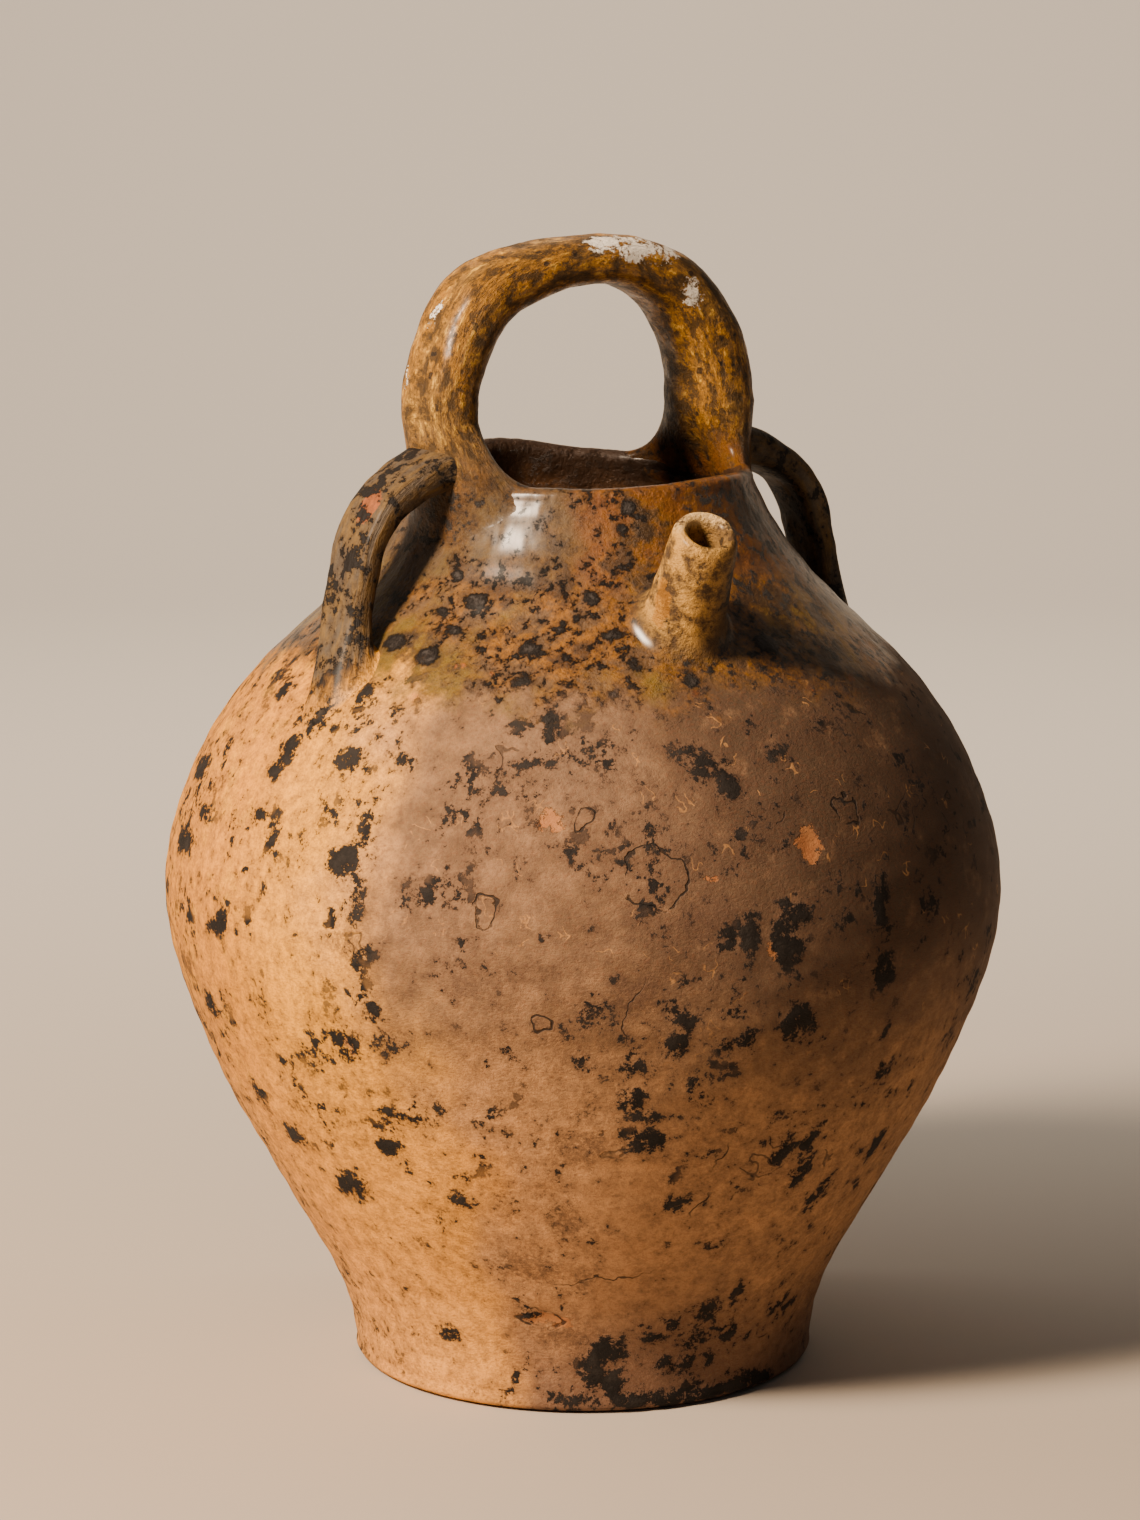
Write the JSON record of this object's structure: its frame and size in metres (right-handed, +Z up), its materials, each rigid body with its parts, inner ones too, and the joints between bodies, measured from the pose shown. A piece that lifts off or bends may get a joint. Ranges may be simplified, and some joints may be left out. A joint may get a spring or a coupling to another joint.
{
  "type": "terracotta oil jar",
  "caption": "Wheel-thrown terracotta oil jar with a wide belly, a narrow open mouth, a pouring spout on the shoulder, a basket handle over the mouth and strap handles at the sides.",
  "frame": {"origin": "centre of the flat base, on the surface the jar stands on", "axes": "+Z up the axis of the thrown body; the basket handle and the right strap lie over the X axis, the left strap three degrees off it, and the spout points to -Y, ten degrees towards -X"},
  "size_m": [0.276, 0.276, 0.37],
  "materials": {
    "body_clay": "bare fired buff clay with black iron spots, ochre lead glaze on the shoulder",
    "handle_glaze": "worn ochre lead glaze",
    "strap_glaze": "spotted brown lead glaze",
    "spout_glaze": "worn buff and ochre glaze"
  },
  "bodies": {
    "root": {"thrown_body": "body_clay", "basket_handle": "handle_glaze", "left_strap_handle": "strap_glaze", "right_strap_handle": "strap_glaze", "pouring_spout": "spout_glaze"}
  },
  "joints": []
}
